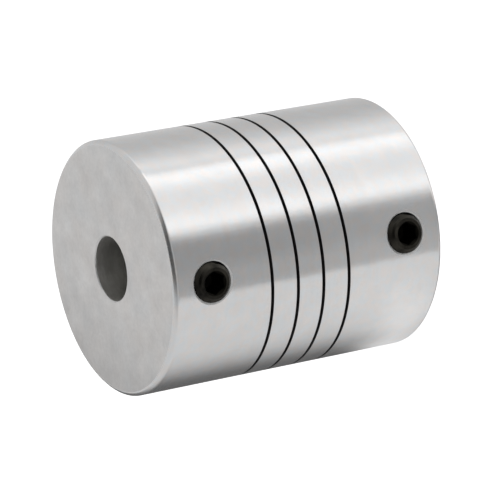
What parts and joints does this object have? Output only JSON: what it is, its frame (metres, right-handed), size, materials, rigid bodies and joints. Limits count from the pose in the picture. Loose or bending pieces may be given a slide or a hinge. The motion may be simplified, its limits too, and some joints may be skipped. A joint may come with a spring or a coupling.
{
  "type": "flexible coupling",
  "caption": "One-piece aluminium shaft coupling with a helical slit through its wall and hexagon-socket set screws at each end of a through bore.",
  "frame": {"origin": "centre of the shaft bore at the lower end face, on which the coupling stands", "axes": "+Z along the shaft axis towards the upper end, -Y the way the lower end's front set screw points out, -X the way its side set screw points out"},
  "size_m": [0.025, 0.0255, 0.03],
  "materials": {
    "aluminium": "satin",
    "black_steel": "satin"
  },
  "bodies": {
    "body": {"coupling_body": "aluminium"},
    "upper_front_set_screw": {"upper_front_screw": "black_steel"},
    "upper_side_set_screw": {"upper_side_screw": "black_steel"},
    "lower_front_set_screw": {"lower_front_screw": "black_steel"},
    "lower_side_set_screw": {"lower_side_screw": "black_steel"}
  },
  "joints": [
    {"name": "upper_front_travel", "type": "slide", "parent": "body", "child": "upper_front_set_screw", "axis": [0.0976, 0.9952, 0], "range_m": [0, 0.00378]},
    {"name": "upper_side_travel", "type": "slide", "parent": "body", "child": "upper_side_set_screw", "axis": [0.9952, -0.0976, 0], "range_m": [0, 0.00313]},
    {"name": "lower_front_travel", "type": "slide", "parent": "body", "child": "lower_front_set_screw", "axis": [0, 1, 0], "range_m": [0, 0.00378]},
    {"name": "lower_side_travel", "type": "slide", "parent": "body", "child": "lower_side_set_screw", "axis": [1, 0, 0], "range_m": [0, 0.00313]}
  ]
}
